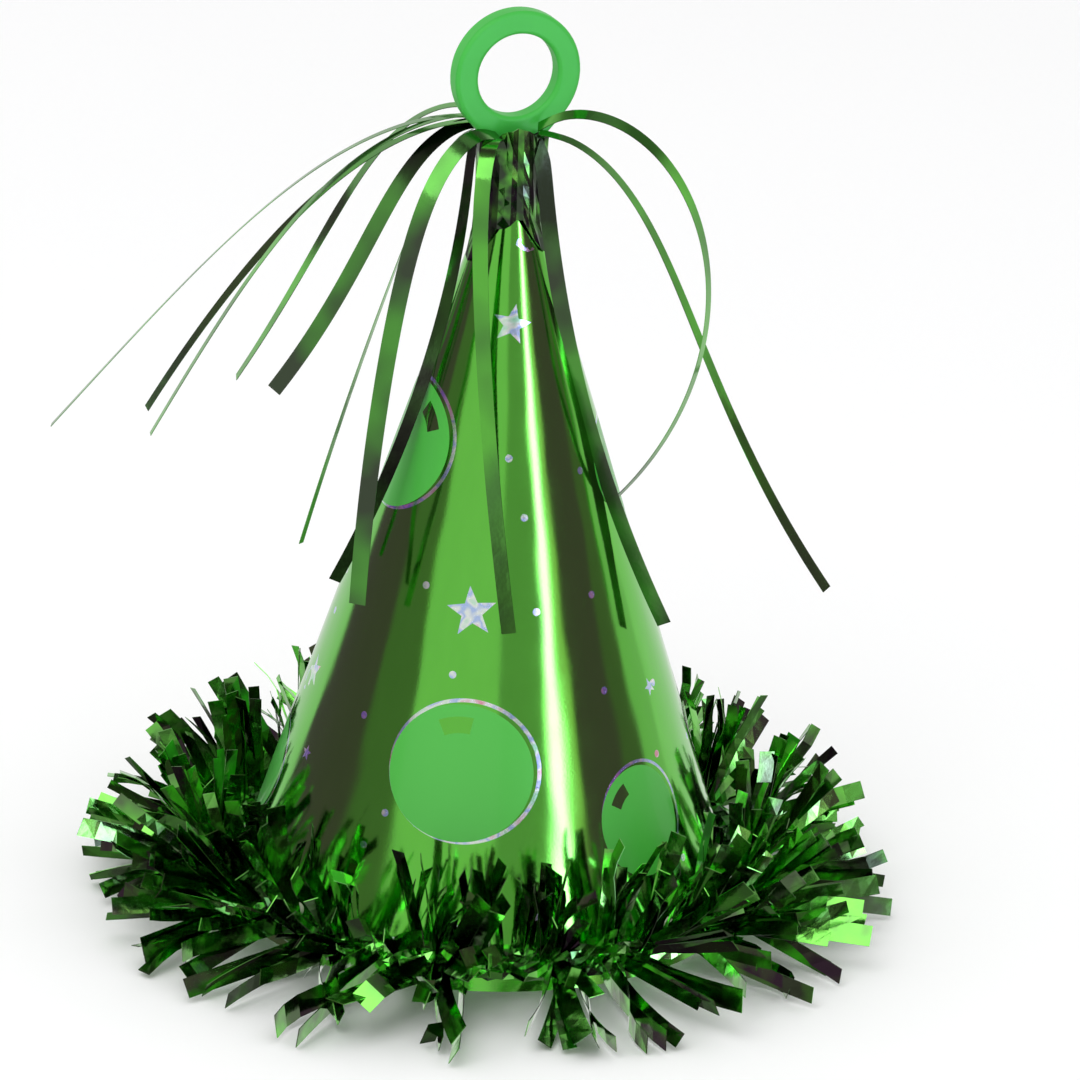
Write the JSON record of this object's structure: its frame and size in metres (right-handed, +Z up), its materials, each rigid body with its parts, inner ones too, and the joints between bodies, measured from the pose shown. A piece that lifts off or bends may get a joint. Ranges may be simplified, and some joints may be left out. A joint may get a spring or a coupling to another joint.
{
  "type": "party hat balloon weight",
  "caption": "Small foil cone party hat on a weighted base, with a tie ring at the tip, curling foil streamers and a tinsel garland round the foot.",
  "frame": {"origin": "centre of the underside, on the surface that the weight stands on", "axes": "+Z up along the cone's axis; the tie ring's hole runs along Y, so the ring faces -Y; +X to the right seen from the front"},
  "size_m": [0.1383, 0.14, 0.1547],
  "materials": {
    "cone_card": "mirror-green metallised card with printed balloons and stars",
    "base_card": "uncoated white-grey card",
    "cup_plastic": "thin translucent white styrene",
    "plaster": "cast plaster",
    "ring_plastic": "satin injection-moulded green plastic",
    "wrap_foil": "crumpled green metallised film",
    "streamer_foil": "green metallised film strip",
    "tinsel_foil": "green metallised film strip",
    "core_foil": "tightly twisted green metallised film",
    "wire": "thin annealed steel wire",
    "hot_glue": "cloudy hot-melt glue"
  },
  "bodies": {
    "root": {"ballast": "plaster", "ballast_cup": "cup_plastic", "base_disc": "base_card", "foil_cone": "cone_card", "garland_core": "core_foil", "garland_strips_01": "tinsel_foil", "garland_strips_02": "tinsel_foil", "garland_strips_03": "tinsel_foil", "garland_strips_04": "tinsel_foil", "garland_strips_05": "tinsel_foil", "garland_strips_06": "tinsel_foil", "garland_strips_07": "tinsel_foil", "garland_strips_08": "tinsel_foil", "garland_strips_09": "tinsel_foil", "garland_strips_10": "tinsel_foil", "garland_strips_11": "tinsel_foil", "garland_strips_12": "tinsel_foil", "garland_wire": "wire", "glue_beads": "hot_glue", "neck_wrap": "wrap_foil", "streamer_01": "streamer_foil", "streamer_02": "streamer_foil", "streamer_03": "streamer_foil", "streamer_04": "streamer_foil", "streamer_05": "streamer_foil", "streamer_06": "streamer_foil", "streamer_07": "streamer_foil", "streamer_08": "streamer_foil", "streamer_09": "streamer_foil", "streamer_10": "streamer_foil", "streamer_11": "streamer_foil", "streamer_12": "streamer_foil", "streamer_13": "streamer_foil", "streamer_14": "streamer_foil", "streamer_15": "streamer_foil", "streamer_16": "streamer_foil", "tie_ring": "ring_plastic"}
  },
  "joints": []
}
